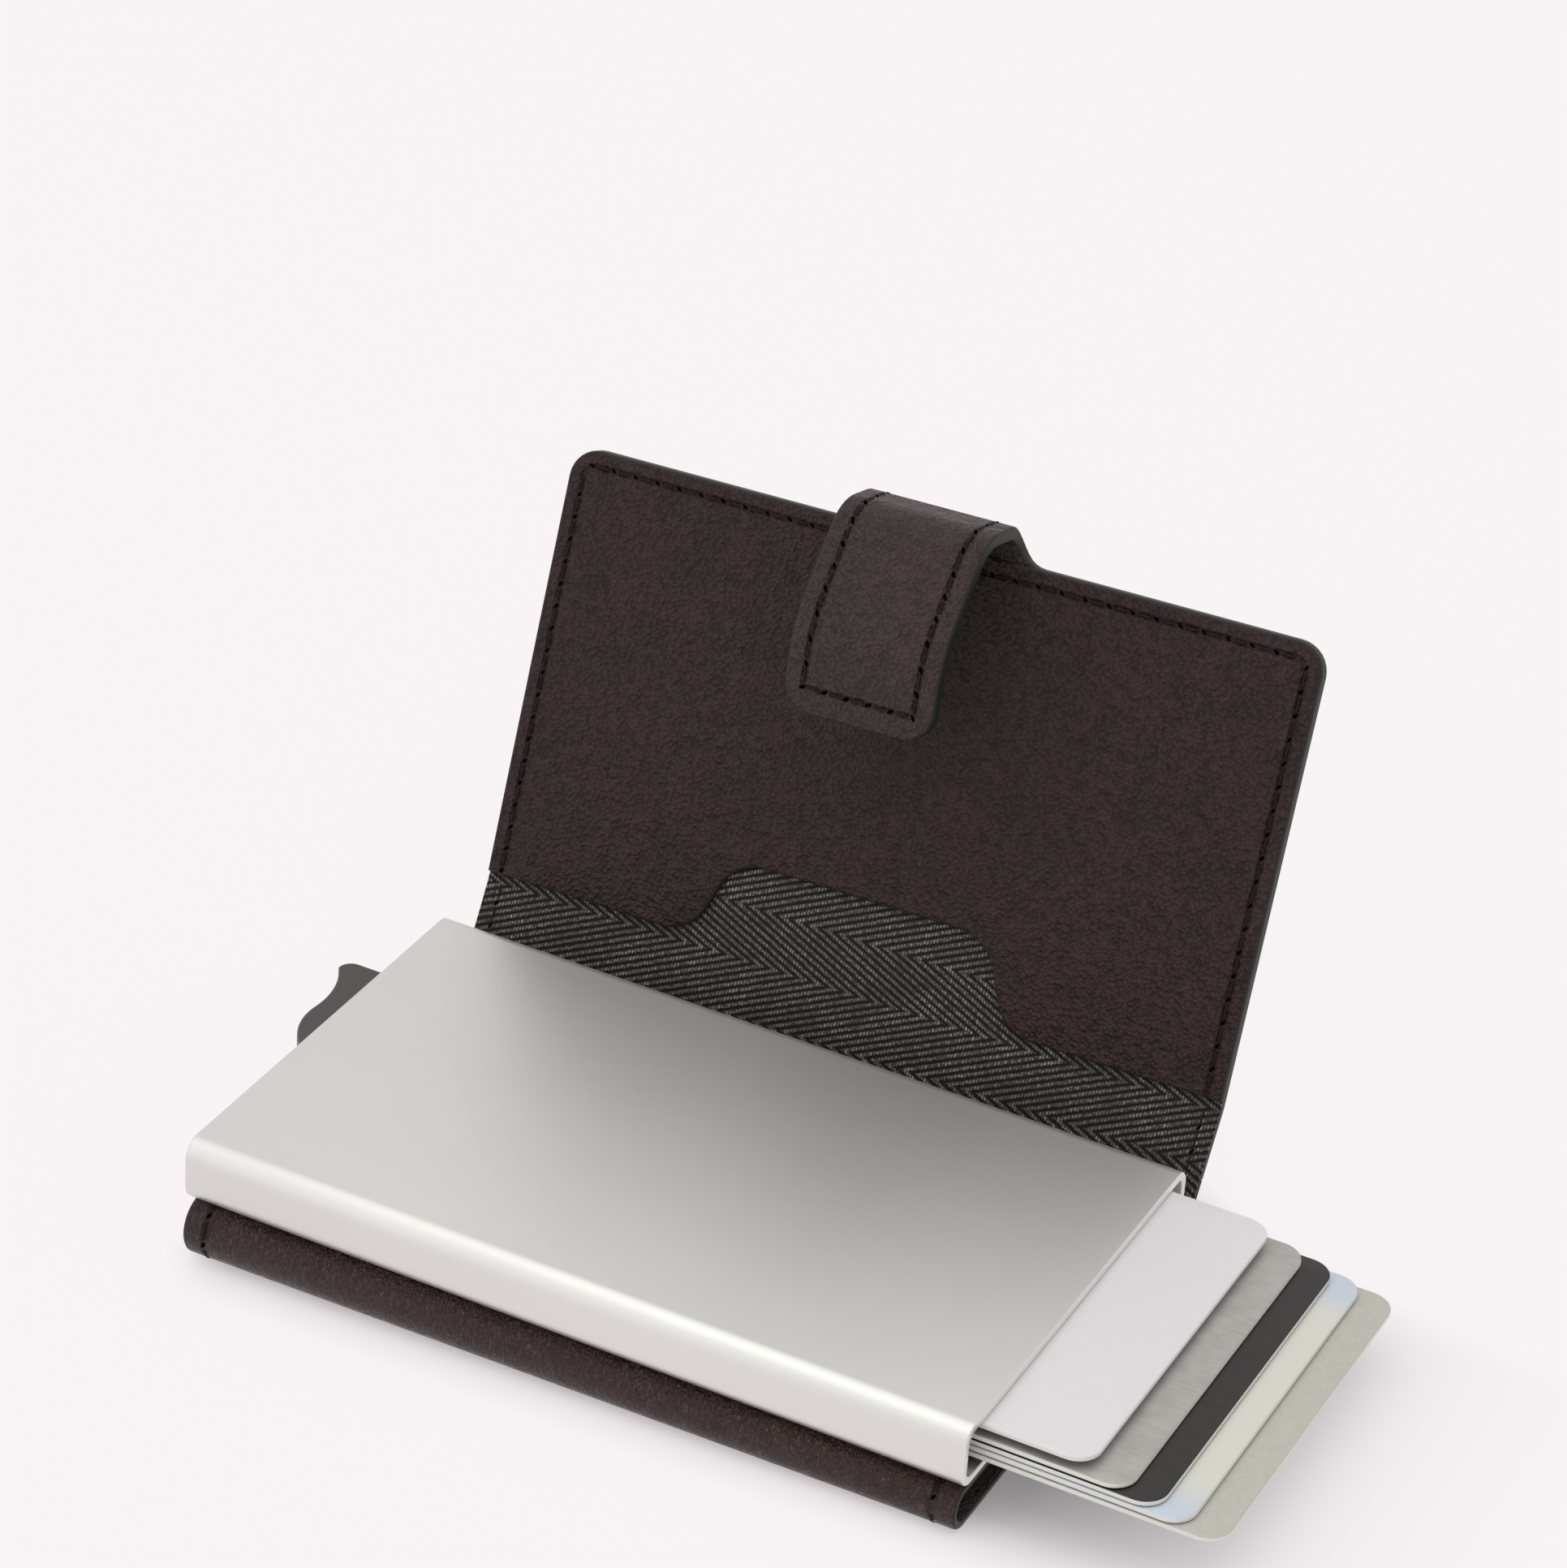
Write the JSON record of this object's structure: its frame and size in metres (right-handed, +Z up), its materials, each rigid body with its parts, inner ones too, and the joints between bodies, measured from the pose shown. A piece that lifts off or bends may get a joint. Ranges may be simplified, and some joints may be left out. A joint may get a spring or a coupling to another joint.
{
  "type": "pop up card holder",
  "caption": "Pop up card holder: aluminium card case with an eject lever and stepped cards, on a folding leather cover whose flap closes over it with a magnetic strap.",
  "frame": {"origin": "centre of the back leaf's rest face, on the ground under the case", "axes": "+X along the case towards the mouth that the cards come out of, +Y towards the spine and the raised flap, +Z up"},
  "size_m": [0.1419, 0.0971, 0.0791],
  "materials": {
    "cover_leather": "fine pebbled grain, dark brown",
    "tape_cloth": "dark tape",
    "board": "fibre board",
    "lining_cloth": "dark grey herringbone twill",
    "thread": "waxed dark thread",
    "steel": "plain",
    "pad_foam": "adhesive pad",
    "case_metal": "fine blasted, anodised silver",
    "lever_plastic": "fine matt",
    "felt": "thin felt",
    "grip_rubber": "matt",
    "card_white": "satin",
    "card_silver": "satin, mottled silver",
    "card_charcoal": "satin",
    "card_green": "satin, pale grey-green",
    "card_beige": "satin"
  },
  "bodies": {
    "holder": {"base_cover": "cover_leather", "base_back_tape": "tape_cloth", "base_stiffener": "board", "base_lining": "lining_cloth", "closure_plate": "steel", "hem_stitches": "thread", "case_pad": "pad_foam", "case_shell": "case_metal", "lever_frame": "lever_plastic", "lever_pin": "steel", "friction_strip_near": "grip_rubber", "friction_strip_far": "grip_rubber", "top_strip": "felt"},
    "lever": {"eject_lever": "lever_plastic"},
    "card_1_body": {"card_1": "card_white"},
    "card_2_body": {"card_2": "card_silver"},
    "card_3_body": {"card_3": "card_charcoal"},
    "card_4_body": {"card_4": "card_green"},
    "card_5_body": {"card_5": "card_beige"},
    "spine": {"spine_leather": "cover_leather", "spine_lining": "lining_cloth"},
    "flap": {"flap_leather": "cover_leather", "flap_stiffener": "board", "flap_lining": "lining_cloth", "flap_pocket": "cover_leather", "flap_stitches": "thread"},
    "strap": {"strap_leather": "cover_leather", "strap_lining": "cover_leather", "strap_magnet": "steel", "strap_stitches": "thread"}
  },
  "joints": [
    {"name": "lever_swing", "type": "hinge", "parent": "holder", "child": "lever", "pos_m": [-0.04164, 0.013, 0.00806], "axis": [0.0218, 0, 0.9998], "range_deg": [-60, 0]},
    {"name": "card_1_slide", "type": "slide", "parent": "holder", "child": "card_1_body", "axis": [0.9998, 0, -0.0218], "range_m": [-0.0146, 0]},
    {"name": "card_2_slide", "type": "slide", "parent": "holder", "child": "card_2_body", "axis": [0.9998, 0, -0.0218], "range_m": [-0.0193, 0]},
    {"name": "card_3_slide", "type": "slide", "parent": "holder", "child": "card_3_body", "axis": [0.9998, 0, -0.0218], "range_m": [-0.0232, 0]},
    {"name": "card_4_slide", "type": "slide", "parent": "holder", "child": "card_4_body", "axis": [0.9998, 0, -0.0218], "range_m": [-0.0269, 0]},
    {"name": "card_5_slide", "type": "slide", "parent": "holder", "child": "card_5_body", "axis": [0.9998, 0, -0.0218], "range_m": [-0.0313, 0]},
    {"name": "spine_hinge", "type": "hinge", "parent": "holder", "child": "spine", "pos_m": [0, 0.03285, 0.00075], "axis": [1, 0, 0], "range_deg": [-59, 31]},
    {"name": "flap_hinge", "type": "hinge", "parent": "spine", "child": "flap", "pos_m": [0, 0.0423, 0.01648], "axis": [1, 0, 0], "range_deg": [-10, 80]},
    {"name": "strap_hinge", "type": "hinge", "parent": "flap", "child": "strap", "pos_m": [0, 0.06355, 0.07184], "axis": [-1, 0, 0], "range_deg": [0, 85], "deforming": ["strap_leather", "strap_lining", "strap_magnet", "strap_stitches"]}
  ],
  "couplings": [
    {"joint": "card_1_slide", "follows": "lever_swing", "m_per_rad": 0.013942},
    {"joint": "card_2_slide", "follows": "lever_swing", "m_per_rad": 0.01843},
    {"joint": "card_3_slide", "follows": "lever_swing", "m_per_rad": 0.022154},
    {"joint": "card_4_slide", "follows": "lever_swing", "m_per_rad": 0.025688},
    {"joint": "card_5_slide", "follows": "lever_swing", "m_per_rad": 0.029889}
  ]
}
